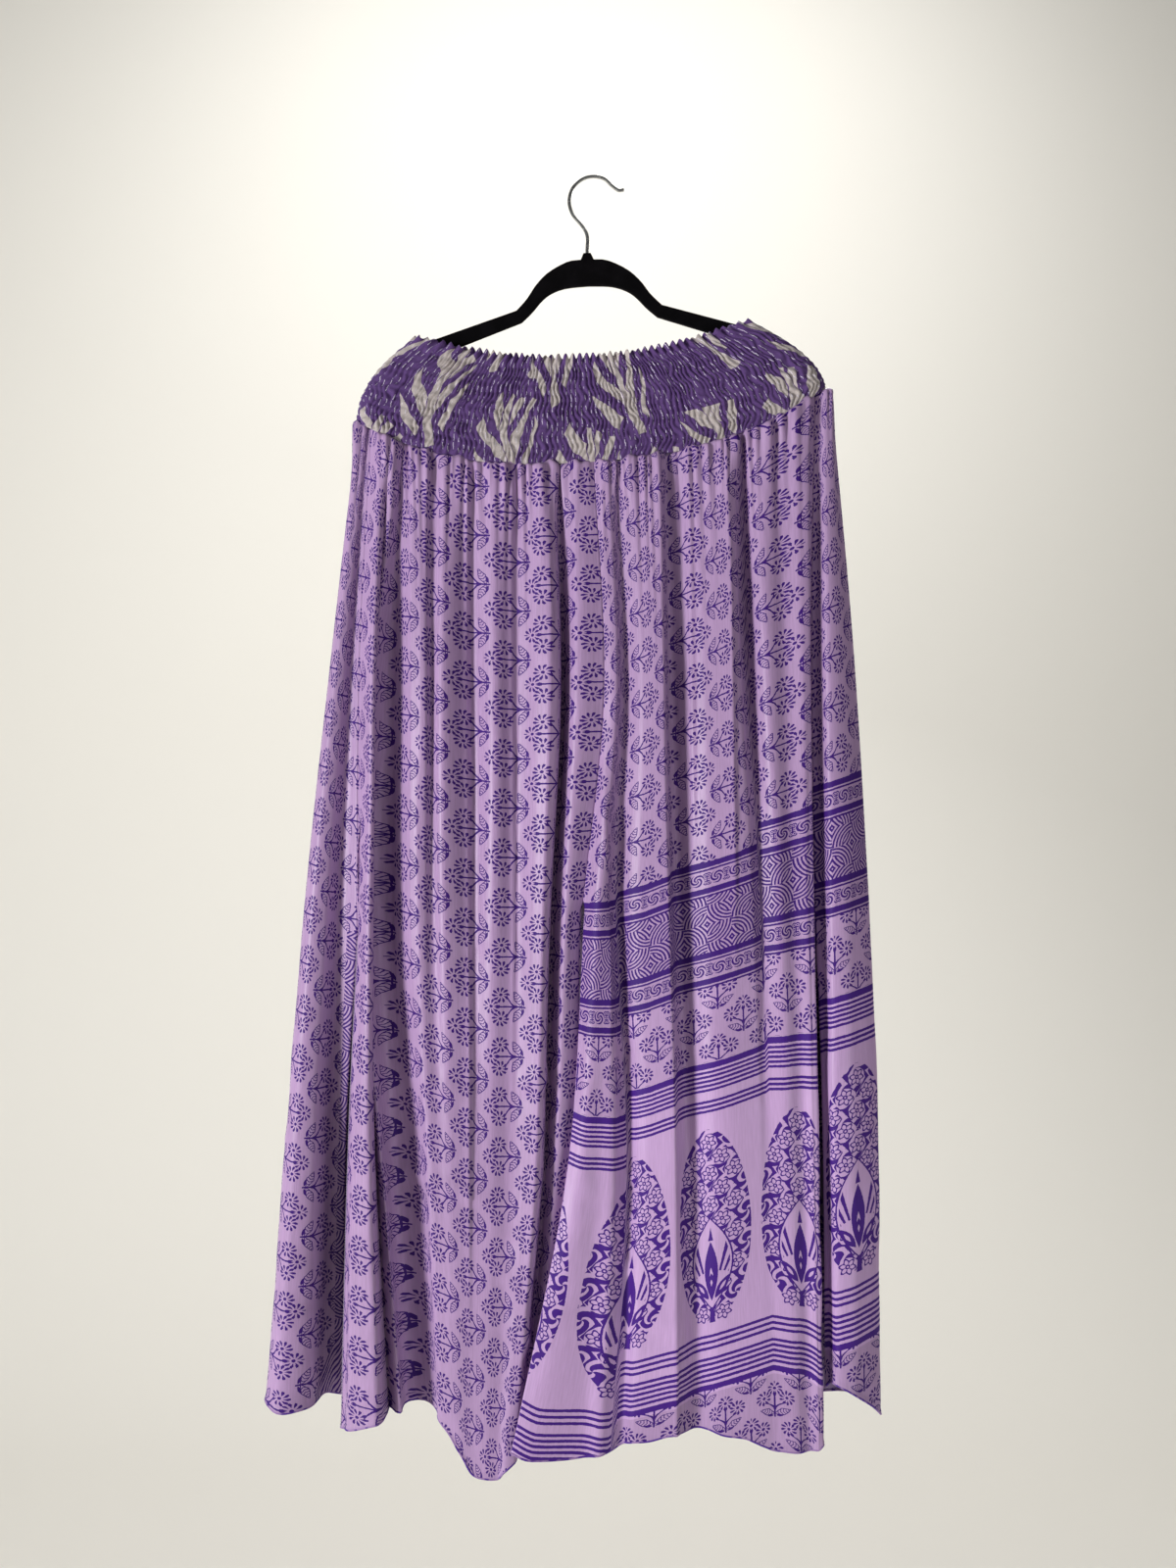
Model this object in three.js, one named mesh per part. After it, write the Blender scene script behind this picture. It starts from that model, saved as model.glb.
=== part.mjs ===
// Wide butterfly pants with a shirred waistband, hung on a slim flocked hanger.
// Millimetres, +Z up, the front faces -Y. The origin is the inner top of the hanger's hook.
import * as THREE from 'three';

const seamGap = 0.3;
const clothThickness = 1.8;

// heights on a leg panel, as a share of the way from the waist seam down to the hem
const waist = 0;
const hip = 0.235;
const crotch = 0.455;
const slitTop = 0.505;
const shin = 0.72;
const hem = 1;
const levels = [waist, hip, crotch, shin, hem];
const rows = [waist, 0.03, 0.08, 0.15, hip, 0.32, 0.4, crotch, slitTop, 0.6, shin, 0.86, hem];
const stepsPerFold = 3;

// the panels' half-depth at those levels, and how strongly the folds stand out there
const halfDepth = [13, 24, 27, 30, 32];
const foldStrength = [0.35, 1, 1, 1.05, 1.1];
const gatherDepth = [1.5, 1.1, 0.5];

// the waist seam hangs in an arc between the side seams, and so does the band's top edge
const waistSeam = { left: [-236.8, -247.2], right: [231.6, -213.5], sag: 58, power: 2.6 };
const topEdge = { left: [-178, -160.3], right: [155.4, -143.6], sag: 30, power: 2.2 };
const band = { ribs: 48, ribHeight: 1.5, wall: 1.8, topDepth: 11.5, bottomDepth: 14.5 };
const bandRows = [0, 0.25, 0.5, 0.75, 1];
const bandLean = { left: 2.1, right: 1.9 };

const hanger = {
  thickness: 6, neckX: -6.9, neckZ: -75.7, tilt: 2.3, slope: 17, armHeight: 14, tipX: 203,
  neck: [[3.6, 0], [6.6, -6.6]],
  archTop: [[6.6, -6.6], [20, -8], [39, -17.5], [52, -29.5], [62, -43.5], [73, -54.9]],
  archUnder: [[68, -66.5], [57, -56.5], [47, -45.5], [37, -38.5], [22, -33.8], [0, -32.5]],
};
const archSteps = 14;
const wireRadius = 1.75;

// A fold or an edge is one line down a panel. x holds its places across at the five levels,
// out is how far it stands off the panel's half-depth, hem is the height of its lower end.
// Edges that turn between the layers have their own depths, y, instead.
const leftFrontFolds = [
  { x: [-207, -216, -218, -224, -228], out: 9, hem: -1235 },
  { x: [-197, -206, -208, -202, -183], out: 4, hem: -1222 },
  { x: [-192, -200, -201, -196, -176], out: -17, hem: -1226 },
  { x: [-176, -172, -172, -166, -157], out: 6, hem: -1230 },
  { x: [-162, -160, -159, -152, -143], out: -2, hem: -1241 },
  { x: [-146, -148, -146, -139, -130], out: 7, hem: -1262 },
  { x: [-122, -120, -119, -118, -118], out: -6, hem: -1283 },
  { x: [-98, -97, -98, -100, -105], out: 5, hem: -1286 },
  { x: [-76, -75, -78, -84, -94], out: -4, hem: -1285 },
  { x: [-56, -52, -56, -64, -86], y: [-16, -32, -35, -37, -37], hem: -1274 },
  { x: [-41, -36, -45, -53, -79], y: [-15, -33, -36, -38, -32], hem: -1266 },
  { x: [-35, -31, -41, -49, -72], y: [-8, -7, -10, -13, -14], hem: -1264 },
  { x: [-19, -18, -31, -39, -63], y: [-15, -32, -34, -30, -10], hem: -1262 },
];
const rightFrontFolds = [
  { x: [12, 22, 4, -12, -62], y: [-15, -31, -36, -42, -50], hem: -1260 },
  { x: [22, 29, 20, 30, 14], y: [-10, -19, -24, -30, -36], hem: -1260 },
  { x: [42, 49, 47, 54, 44], out: 8, hem: -1247 },
  { x: [64, 69, 76, 83, 84], out: 8, hem: -1240 },
  { x: [73, 79, 85, 94, 101], out: -9, hem: -1239 },
  { x: [105, 111, 114, 119, 124], out: 7, hem: -1242 },
  { x: [135, 141, 154, 161, 166], out: 9, hem: -1252 },
  { x: [145, 151, 163, 171, 177], out: -10, hem: -1258 },
  { x: [162, 169, 181, 191, 198], out: 6, hem: -1260 },
  { x: [181, 189, 196, 206, 211], out: 0, hem: -1260 },
  { x: [205, 206, 209, 215, 220], out: 4, hem: -1259 },
  { x: [214, 213, 216, 221, 225], y: [-13, -24, -27, -30, -32], hem: -1255 },
  { x: [215, 211, 214, 219, 222], y: [-9, -14, -16, -19, -21], hem: -1252 },
];
const rightBackFolds = [
  { x: [226, 223, 226, 231, 234], y: [-7, -11, -13, -15, -16], hem: -1200 },
  { x: [229, 230, 233, 235, 239], y: [-7, -21, -25, -29, -32], hem: -1197 },
  { x: [236, 258, 272, 283, 285], y: [-1, -3, -5, -7, -9], hem: -1234 },
  { x: [216, 240, 254, 263, 268], y: [9, 19, 25, 28, 30], hem: -1234 },
  { x: [192, 208, 218, 225, 228], out: 6, hem: -1236 },
  { x: [168, 180, 187, 191, 192], out: -6, hem: -1240 },
  { x: [144, 153, 157, 158, 155], out: 7, hem: -1246 },
  { x: [118, 127, 128, 124, 114], out: -6, hem: -1250 },
  { x: [92, 99, 97, 84, 60], out: 7, hem: -1248 },
  { x: [68, 75, 62, 36, -4], out: -3, hem: -1244 },
  { x: [44, 51, 34, 4, -40], y: [15, 30, 31, 16, 6], hem: -1248 },
  { x: [22, 31, 13, -14, -58], y: [11, 20, 19, -10, -28], hem: -1252 },
];
const leftBackFolds = [
  { x: [-24, -8, -5, -24, -64], y: [11, 20, 18, 18, 24], hem: -1262 },
  { x: [-48, -38, -50, -60, -84], out: 7, hem: -1262 },
  { x: [-74, -72, -78, -86, -104], out: -6, hem: -1256 },
  { x: [-100, -103, -108, -114, -126], out: 7, hem: -1250 },
  { x: [-128, -134, -138, -143, -152], out: -7, hem: -1246 },
  { x: [-154, -165, -170, -175, -182], out: 6, hem: -1242 },
  { x: [-178, -194, -202, -208, -214], out: -6, hem: -1240 },
  { x: [-200, -222, -236, -246, -256], out: 6, hem: -1238 },
  { x: [-219, -248, -268, -285, -303], y: [9, 18, 22, 24, 26], hem: -1230 },
  { x: [-237, -263, -286, -307, -328], y: [-1, 0, 0, -1, -3], hem: -1224 },
  { x: [-232, -255, -276, -296, -312], y: [-8, -14, -18, -21, -25], hem: -1228 },
  { x: [-229, -248, -264, -278, -284], y: [-9, -13, -16, -18, -15], hem: -1226 },
  { x: [-226, -241, -253, -263, -273], y: [-7, -7, -5, 3, 18], hem: -1226 },
];

// seams that two panels share down to the crotch or the slit, and the edges below them
const centreFront = { at: [waist, hip, crotch], x: [0, 10, -11.5], y: [-13, -27, -2] };
const centreBack = { at: [waist, hip, crotch], x: [0, 10, -11.5], y: [13, 26, 2] };
const leftInseam = { at: [crotch, shin, hem], x: [-14, -21, -58], y: [0, -1, 6], hem: -1260 };
const rightInseam = { at: [crotch, shin, hem], x: [-9, -26, -80], y: [0, -33, -49], hem: -1255 };
const leftSide = { at: [waist, hip, slitTop], x: [-222, -233, -234], y: [-8, -12, -14] };
const rightSide = { at: [waist, hip, slitTop], x: [220, 216, 219], y: [-7, -9, -10] };
const leftFrontSlit = { at: [slitTop, shin, hem], x: [-234, -243, -250], y: [-14, -17, -18], hem: -1243 };
const leftBackSlit = { at: [slitTop, shin, hem], x: [-234, -249, -257], y: [-14, 4, 26], hem: -1232 };
const rightFrontSlit = { at: [slitTop, shin, hem], x: [219, 223, 225], y: [-10, -12, -13], hem: -1250 };
const rightBackSlit = { at: [slitTop, shin, hem], x: [219, 227, 230], y: [-10, -11, -11], hem: -1206 };

const mix = (a, b, share) => a + (b - a) * share;

// a smooth curve through values given at rising stops
function through(stops, values, at) {
  const last = stops.length - 1;
  let i = 0;
  while (i < last - 1 && at > stops[i + 1]) i += 1;
  const slope = (k) => {
    const before = Math.max(k - 1, 0);
    const after = Math.min(k + 1, last);
    return (values[after] - values[before]) / (stops[after] - stops[before]);
  };
  const width = stops[i + 1] - stops[i];
  const s = (at - stops[i]) / width;
  const rise = values[i + 1] - values[i];
  const bend = slope(i) * width - rise;
  const unbend = rise - slope(i + 1) * width;
  return mix(values[i], values[i + 1], s) + s * (1 - s) * ((1 - s) * bend + s * unbend);
}

// the height of an edge that sags between two raised ends
function sagging(edge, x) {
  const [x0, z0] = edge.left;
  const [x1, z1] = edge.right;
  const share = (x - x0) / (x1 - x0);
  return mix(z0, z1, share) - edge.sag * (1 - Math.abs(2 * share - 1) ** edge.power);
}

// one closed wall from rows of paired outer and inner points, each row run anticlockwise
function wallMesh(name, outer, inner, material) {
  const count = outer[0].length;
  const grid = [...outer, ...inner].flat();
  const face = [];
  const quad = (a, b, c, d) => face.push(a, b, c, a, c, d);
  const out = (j, i) => j * count + i;
  const back = (j, i) => (outer.length + j) * count + i;
  for (let j = 0; j < outer.length - 1; j += 1) {
    for (let i = 0; i < count - 1; i += 1) {
      quad(out(j, i), out(j + 1, i), out(j + 1, i + 1), out(j, i + 1));
      quad(back(j, i), back(j, i + 1), back(j + 1, i + 1), back(j + 1, i));
    }
    quad(out(j, 0), back(j, 0), back(j + 1, 0), out(j + 1, 0));
    quad(out(j, count - 1), out(j + 1, count - 1), back(j + 1, count - 1), back(j, count - 1));
  }
  const foot = outer.length - 1;
  for (let i = 0; i < count - 1; i += 1) {
    quad(out(0, i), out(0, i + 1), back(0, i + 1), back(0, i));
    quad(out(foot, i), back(foot, i), back(foot, i + 1), out(foot, i + 1));
  }
  const geometry = new THREE.BufferGeometry().setFromPoints(grid);
  geometry.setIndex(face);
  geometry.computeVertexNormals();
  const mesh = new THREE.Mesh(geometry, material);
  mesh.name = name;
  return mesh;
}

const edgeAt = (edge, v) => new THREE.Vector3(
  through(edge.at, edge.x, v),
  through(edge.at, edge.y, v),
  edge.hem ?? 0,
);

function foldAt(fold, side, v) {
  const depth = through(levels, halfDepth, v) + (fold.out ?? 0) * through(levels, foldStrength, v);
  const y = fold.y ? through(levels, fold.y, v) : side * depth;
  return new THREE.Vector3(through(levels, fold.x, v), y, fold.hem);
}

// each panel's folds run anticlockwise seen from above, between its first and last edges
const panels = {
  left_leg_front: {
    side: -1, folds: leftFrontFolds,
    first: { above: leftSide, below: leftFrontSlit, split: slitTop, mates: ['left_leg_back'] },
    last: {
      above: centreFront, below: leftInseam, split: crotch, mates: ['right_leg_front', 'left_leg_back'],
    },
  },
  right_leg_front: {
    side: -1, folds: rightFrontFolds,
    first: {
      above: centreFront, below: rightInseam, split: crotch, mates: ['left_leg_front', 'right_leg_back'],
    },
    last: { above: rightSide, below: rightFrontSlit, split: slitTop, mates: ['right_leg_back'] },
  },
  right_leg_back: {
    side: 1, folds: rightBackFolds,
    first: { above: rightSide, below: rightBackSlit, split: slitTop, mates: ['right_leg_front'] },
    last: {
      above: centreBack, below: rightInseam, split: crotch, mates: ['left_leg_back', 'right_leg_front'],
    },
  },
  left_leg_back: {
    side: 1, folds: leftBackFolds,
    first: {
      above: centreBack, below: leftInseam, split: crotch, mates: ['right_leg_back', 'left_leg_front'],
    },
    last: { above: leftSide, below: leftBackSlit, split: slitTop, mates: ['left_leg_front'] },
  },
};

// the middle line of a panel's cloth at one height; z carries the height of its hem
function panelLine(panel, v) {
  const { first, last } = panel;
  const start = edgeAt(v <= first.split ? first.above : first.below, v);
  const end = edgeAt(v <= last.split ? last.above : last.below, v);
  start.z = first.below.hem;
  end.z = last.below.hem;
  const knots = [start, ...panel.folds.map((fold) => foldAt(fold, panel.side, v)), end];
  const curve = new THREE.CatmullRomCurve3(knots, false, 'centripetal');
  const points = curve.getPoints((knots.length - 1) * stepsPerFold);
  return points;
}

const heading = (from, to) => new THREE.Vector2(to.x - from.x, to.y - from.y).normalize();

// the way the cloth runs across the edge, shared with the panel sewn to it there
function edgeHeading(lines, name, which, v) {
  const ownHeading = (panelName, end) => {
    const line = lines[panelName];
    return end === 'first' ? heading(line[0], line[1]) : heading(line.at(-2), line.at(-1));
  };
  const edge = panels[name][which];
  const own = ownHeading(name, which);
  const mate = v <= edge.split ? edge.mates[0] : edge.mates[1];
  if (!mate) return own;
  return own.add(ownHeading(mate, which === 'first' ? 'last' : 'first')).normalize();
}

function offsetRow(lines, name, v, rowIndex) {
  const line = lines[name];
  const gather = gatherDepth[rowIndex] ?? 0;
  const outer = [];
  const inner = [];
  line.forEach((point, i) => {
    let run = heading(line[Math.max(i - 1, 0)], line[Math.min(i + 1, line.length - 1)]);
    const middle = point.clone();
    if (i === 0 || i === line.length - 1) {
      const which = i === 0 ? 'first' : 'last';
      run = edgeHeading(lines, name, which, v);
      const trim = (which === 'first' ? 1 : -1) * seamGap / 2;
      middle.add(new THREE.Vector3(run.x * trim, run.y * trim, 0));
    }
    const normal = new THREE.Vector3(run.y, -run.x, 0);
    const inside = i > 1 && i < line.length - 2;
    if (inside) middle.addScaledVector(normal, i % 2 ? gather : -gather);
    outer.push(middle.clone().addScaledVector(normal, clothThickness / 2));
    inner.push(middle.clone().addScaledVector(normal, -clothThickness / 2));
  });
  return { outer, inner };
}

function legPanels(material) {
  const names = Object.keys(panels);
  const grids = Object.fromEntries(names.map((name) => [name, { outer: [], inner: [] }]));
  rows.forEach((v, rowIndex) => {
    const lines = Object.fromEntries(names.map((name) => [name, panelLine(panels[name], v)]));
    for (const name of names) {
      const row = offsetRow(lines, name, v, rowIndex);
      for (const face of ['outer', 'inner']) {
        const top = grids[name][face][0] ?? row[face];
        grids[name][face].push(row[face].map((point, i) => {
          const seam = sagging(waistSeam, top[i].x);
          return new THREE.Vector3(point.x, point.y, mix(seam, point.z, v));
        }));
      }
    }
  });
  return names.map((name) => wallMesh(name, grids[name].outer, grids[name].inner, material));
}

// the band's level section, front or back, with rounded sides where it turns
function bandLine(side, v, columns) {
  const reach = { left: 1 - (1 - v) ** bandLean.left, right: 1 - (1 - v) ** bandLean.right };
  const x0 = mix(topEdge.left[0], waistSeam.left[0], reach.left);
  const x1 = mix(topEdge.right[0], waistSeam.right[0], reach.right);
  const depth = mix(band.topDepth, band.bottomDepth, v);
  const bow = [[0, 0], [2, 0.45], [9, 0.82], [28, 0.97]];
  const left = bow.map(([step, share]) => new THREE.Vector3(x0 + step, side * depth * share, 0));
  const right = bow.map(([step, share]) => new THREE.Vector3(x1 - step, side * depth * share, 0));
  const middle = new THREE.Vector3((x0 + x1) / 2, side * depth, 0);
  const knots = side < 0 ? [...left, middle, ...right.reverse()] : [...right, middle, ...left.reverse()];
  return new THREE.CatmullRomCurve3(knots, false, 'centripetal').getSpacedPoints(columns);
}

function bandHalf(name, side, material) {
  const columns = band.ribs * 2;
  const topLine = bandLine(side, 0, columns);
  const seamLine = bandLine(side, 1, columns);
  const outer = [];
  const inner = [];
  for (const v of bandRows) {
    const line = bandLine(side, v, columns);
    const place = (i, offset) => {
      const run = heading(line[Math.max(i - 1, 0)], line[Math.min(i + 1, columns)]);
      const end = i === 0 || i === columns;
      if (end) run.set(0, side * (i === 0 ? 1 : -1));
      const trim = end ? seamGap / 2 : 0;
      const x = line[i].x + run.y * offset;
      const y = line[i].y - run.x * offset + side * trim;
      const seam = sagging(waistSeam, seamLine[i].x + run.y * offset) + seamGap;
      return new THREE.Vector3(x, y, mix(sagging(topEdge, topLine[i].x), seam, v));
    };
    const rib = (i) => (i % 2 ? band.ribHeight : 0);
    outer.push(line.map((_, i) => place(i, band.wall / 2 + rib(i))));
    inner.push(line.map((_, i) => place(i, -band.wall / 2)));
  }
  return wallMesh(name, outer, inner, material);
}

// a smooth run of an outline through a few points
function smoothRun(points, steps) {
  const curve = new THREE.SplineCurve(points.map(([x, z]) => new THREE.Vector2(x, z)));
  return curve.getPoints(steps).map((point) => [point.x, point.y]);
}

// the arched body with its two sloping arms, from half an outline mirrored across
function hangerBody(material) {
  const drop = Math.tan(THREE.MathUtils.degToRad(hanger.slope));
  const [bendX, bendZ] = hanger.archTop.at(-1);
  const armZ = (x) => bendZ - (x - bendX) * drop;
  const tip = hanger.tipX;
  const half = [
    hanger.neck[0], ...smoothRun(hanger.archTop, archSteps),
    [tip - 30, armZ(tip - 30) - 0.3], [tip - 13, armZ(tip - 13) - 4.2],
    [tip - 4, armZ(tip - 4) - 9], [tip, armZ(tip) - 16], [tip - 3, armZ(tip) - 21],
    [tip - 12, armZ(tip - 12) - hanger.armHeight - 4.5], ...smoothRun(hanger.archUnder, archSteps),
  ];
  const outline = [...half, ...half.slice(0, -1).reverse().map(([x, z]) => [-x, z])];
  const shape = new THREE.Shape(outline.map(([x, z]) => new THREE.Vector2(x, z)));
  const edge = 1.2;
  const geometry = new THREE.ExtrudeGeometry(shape, {
    depth: hanger.thickness - 2 * edge,
    bevelThickness: edge, bevelSize: edge, bevelOffset: -edge, bevelSegments: 2,
  });
  geometry.translate(0, 0, -(hanger.thickness / 2 - edge));
  geometry.rotateX(Math.PI / 2);
  const mesh = new THREE.Mesh(geometry, material);
  mesh.name = 'hanger_body';
  mesh.position.set(hanger.neckX, 0, hanger.neckZ);
  mesh.rotation.y = -THREE.MathUtils.degToRad(hanger.tilt);
  return mesh;
}

// the bent wire: up from the neck, round over the support and out to its tip
function hangerHook(material) {
  const route = [
    [hanger.neckX, hanger.neckZ + seamGap], [hanger.neckX, -57], [-11.5, -48.2], [-21.2, -36.4],
    [-24.8, -23], [-20.7, -9.2], [-10.8, -0.6], [0, wireRadius], [10.8, -0.8], [19, -8.4],
    [25.5, -12.3], [30, -11.5],
  ];
  const stops = route.map(([x, z]) => new THREE.Vector3(x, 0, z));
  const path = new THREE.CatmullRomCurve3(stops, false, 'centripetal');
  const sides = 10;
  const corners = Array.from({ length: sides }, (_, i) => {
    const angle = (i / sides) * 2 * Math.PI;
    return new THREE.Vector2(wireRadius * Math.cos(angle), wireRadius * Math.sin(angle));
  });
  const geometry = new THREE.ExtrudeGeometry(new THREE.Shape(corners), { steps: 56, extrudePath: path });
  const mesh = new THREE.Mesh(geometry, material);
  mesh.name = 'hanger_hook';
  return mesh;
}

const printedSilk = new THREE.MeshStandardMaterial({ color: '#a98ac4', roughness: 0.5, metalness: 0 });
const shirredCloth = new THREE.MeshStandardMaterial({ color: '#5f4c88', roughness: 0.85, metalness: 0 });
const blackFlock = new THREE.MeshStandardMaterial({ color: '#0c0b0e', roughness: 0.95, metalness: 0 });
const brightSteel = new THREE.MeshStandardMaterial({ color: '#c4c6c8', roughness: 0.25, metalness: 1 });

const pants = new THREE.Group();
pants.add(...legPanels(printedSilk));
pants.add(bandHalf('waistband_front', -1, shirredCloth), bandHalf('waistband_back', 1, shirredCloth));
pants.add(hangerBody(blackFlock), hangerHook(brightSteel));

export default pants;
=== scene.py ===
# Butterfly pants with a shirred waistband, hung on a slim flocked hanger.
# Tables are in millimetres, meshes in metres. The front faces -Y, the hook's inner top is the origin.
import math
from functools import partialmethod
import bmesh
import bpy
import numpy as np
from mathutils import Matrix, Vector


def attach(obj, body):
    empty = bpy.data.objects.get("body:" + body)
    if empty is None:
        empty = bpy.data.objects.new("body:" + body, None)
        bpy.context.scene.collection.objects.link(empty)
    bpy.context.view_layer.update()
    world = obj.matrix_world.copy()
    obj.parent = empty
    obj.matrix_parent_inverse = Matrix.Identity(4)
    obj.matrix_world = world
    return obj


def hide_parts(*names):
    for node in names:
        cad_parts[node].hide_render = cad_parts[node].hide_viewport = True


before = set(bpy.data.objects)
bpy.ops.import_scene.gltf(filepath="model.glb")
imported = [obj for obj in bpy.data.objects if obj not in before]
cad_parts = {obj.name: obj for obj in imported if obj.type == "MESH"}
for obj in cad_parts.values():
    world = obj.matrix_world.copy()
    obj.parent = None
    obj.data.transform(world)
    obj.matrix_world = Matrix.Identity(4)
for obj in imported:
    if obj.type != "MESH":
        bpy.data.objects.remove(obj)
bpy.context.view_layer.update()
mm = 0.001


# Camera
view = {"x": -5.9, "y": -1265, "z": -607.7, "lens": 28.95, "sensor": 36, "clipEnd": 20}
cameraData = bpy.data.cameras.new("camera")
cameraData.lens = view["lens"]
cameraData.sensor_width = view["sensor"]
cameraData.clip_end = view["clipEnd"]
camera = bpy.data.objects.new("camera", cameraData)
camera.location = (view["x"] * mm, view["y"] * mm, view["z"] * mm)
camera.rotation_euler = (math.pi / 2, 0, 0)
bpy.context.collection.objects.link(camera)
bpy.context.scene.camera = camera


# Cloth curves, close to those of the solid parts
waist, hip, crotch, slitTop, shin, hem = 0, 0.235, 0.455, 0.505, 0.72, 1
levels = [waist, hip, crotch, shin, hem]
# at those levels: half the garment's depth, and how far its folds stand out
halfDepth = [13, 24, 27, 30, 32]
foldStrength = [0.35, 1, 1, 1.05, 1.1]
waistSeam = {"left": (-236.8, -247.2), "right": (231.6, -213.5), "sag": 58, "power": 2.6}
topEdge = {"left": (-178, -160.3), "right": (155.4, -143.6), "sag": 30, "power": 2.2}

# a fold: its places across at the five levels, how far it stands out from half the depth, and its lower end;
# round brackets give that for each level, square brackets the depths themselves
leftFrontFolds = [
    ([-207, -216, -218, -224, -228], 9, -1235),
    ([-197, -206, -208, -202, -183], 4, -1222),
    ([-192, -200, -201, -196, -176], -17, -1226),
    ([-176, -172, -172, -166, -157], (6, 6, 5, 1, -1), -1230),
    ([-162, -160, -159, -152, -143], (-2, -2, -2, 1, 1), -1241),
    ([-146, -148, -146, -139, -130], (7, 7, 5, 3, 3), -1262),
    ([-122, -120, -119, -118, -118], (-6, -6, -4, 1, 3), -1283),
    ([-98, -97, -98, -100, -105], (5, 5, 4, 3, 4), -1286),
    ([-76, -75, -78, -84, -94], (-4, -4, -3, 1, 3), -1285),
    ([-56, -52, -56, -64, -86], [-16, -32, -35, -37, -37], -1274),
    ([-41, -36, -45, -53, -79], [-15, -33, -36, -38, -32], -1266),
    ([-35, -31, -41, -49, -72], [-8, -7, -10, -13, -14], -1264),
    ([-19, -18, -28, -38, -63], [-15, -32, -31, -29, -16], -1262),
]
rightFrontFolds = [
    ([12, 22, 4, -12, -62], [-15, -31, -36, -42, -50], -1260),
    ([22, 29, 20, 30, 14], [-10, -19, -24, -30, -36], -1260),
    ([42, 49, 47, 54, 44], 8, -1247),
    ([64, 69, 76, 83, 84], 8, -1240),
    ([73, 79, 85, 94, 101], (-9, -9, -8, -5, -1), -1239),
    ([105, 111, 114, 119, 124], (7, 7, 7, 6, 5), -1242),
    ([135, 141, 154, 161, 166], (9, 9, 6, 4, 4), -1252),
    ([145, 151, 163, 171, 177], (-10, -9, -3, 2, 3), -1258),
    ([162, 169, 181, 191, 198], (6, 6, 5, 4, 4), -1260),
    ([181, 189, 196, 206, 211], 0, -1260),
    ([205, 206, 209, 215, 220], 4, -1259),
    ([214, 213, 216, 221, 225], [-13, -24, -27, -30, -32], -1255),
    ([215, 211, 214, 219, 222], [-9, -14, -16, -19, -21], -1252),
]
rightBackFolds = [
    ([226, 223, 226, 231, 234], [-7, -11, -13, -15, -16], -1200),
    ([229, 230, 233, 235, 239], [-7, -21, -25, -29, -32], -1197),
    ([236, 258, 272, 283, 285], [-1, -3, -5, -7, -9], -1234),
    ([216, 240, 254, 263, 268], [9, 19, 25, 28, 30], -1234),
    ([192, 208, 218, 225, 228], 6, -1236),
    ([168, 180, 187, 191, 192], -6, -1240),
    ([144, 153, 157, 158, 155], 7, -1246),
    ([118, 127, 128, 124, 114], -6, -1250),
    ([92, 99, 97, 84, 60], 7, -1248),
    ([68, 75, 62, 36, -4], -3, -1244),
    ([44, 51, 34, 4, -40], [15, 30, 31, 16, 6], -1248),
    ([22, 31, 13, -14, -58], [11, 20, 19, -10, -28], -1252),
]
leftBackFolds = [
    ([-24, -8, -5, -24, -64], [11, 20, 18, 18, 24], -1262),
    ([-48, -38, -50, -60, -84], 7, -1262),
    ([-74, -72, -78, -86, -104], -6, -1256),
    ([-100, -103, -108, -114, -126], 7, -1250),
    ([-128, -134, -138, -143, -152], -7, -1246),
    ([-154, -165, -170, -175, -182], 6, -1242),
    ([-178, -194, -202, -208, -214], -6, -1240),
    ([-200, -222, -236, -246, -256], 6, -1238),
    ([-219, -248, -268, -285, -303], [9, 18, 22, 24, 26], -1230),
    ([-237, -263, -286, -307, -328], [-1, 0, 0, -1, -3], -1224),
    ([-232, -255, -276, -296, -312], [-8, -14, -18, -21, -25], -1228),
    ([-229, -248, -264, -278, -284], [-9, -13, -16, -18, -15], -1226),
    ([-226, -241, -253, -263, -273], [-7, -7, -5, 3, 18], -1226),
]

# seams shared by two panels and the free edges below them: stops, x, y, lower end
toCrotch, belowCrotch = [waist, hip, crotch], [crotch, shin, hem]
toSlit, belowSlit = [waist, hip, slitTop], [slitTop, shin, hem]
centreFront = (toCrotch, [0, 10, -11.5], [-13, -27, -22], 0)
centreBack = (toCrotch, [0, 10, -11.5], [13, 26, 2], 0)
leftInseam = (belowCrotch, [-14, -21, -58], [-21, -20, -4], -1260)
rightInseam = (belowCrotch, [-9, -26, -80], [-21, -35, -49], -1255)
leftSide = (toSlit, [-222, -233, -234], [-8, -12, -14], 0)
rightSide = (toSlit, [220, 216, 219], [-7, -9, -10], 0)
leftFrontSlit = (belowSlit, [-234, -243, -250], [-14, -17, -18], -1243)
leftBackSlit = (belowSlit, [-234, -249, -257], [-14, 4, 26], -1232)
rightFrontSlit = (belowSlit, [219, 223, 225], [-10, -12, -13], -1250)
rightBackSlit = (belowSlit, [219, 227, 230], [-10, -11, -11], -1206)

# a panel: its side, its folds, and its first and last edges; folds run anticlockwise seen from above
panels = {
    "left_leg_front": (-1, leftFrontFolds,
                       (leftSide, leftFrontSlit, slitTop), (centreFront, leftInseam, crotch)),
    "right_leg_front": (-1, rightFrontFolds,
                        (centreFront, rightInseam, crotch), (rightSide, rightFrontSlit, slitTop)),
    "right_leg_back": (1, rightBackFolds,
                       (rightSide, rightBackSlit, slitTop), (centreBack, rightInseam, crotch)),
    "left_leg_back": (1, leftBackFolds,
                      (centreBack, leftInseam, crotch), (leftSide, leftBackSlit, slitTop)),
}
slitFirst = ("left_leg_front", "right_leg_back")  # panels that begin at their slit


def mix(a, b, share):
    return a + (b - a) * share


def smooth(a, b, x):
    share = np.clip((x - a) / (b - a), 0, 1)
    return share * share * (3 - 2 * share)


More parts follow.
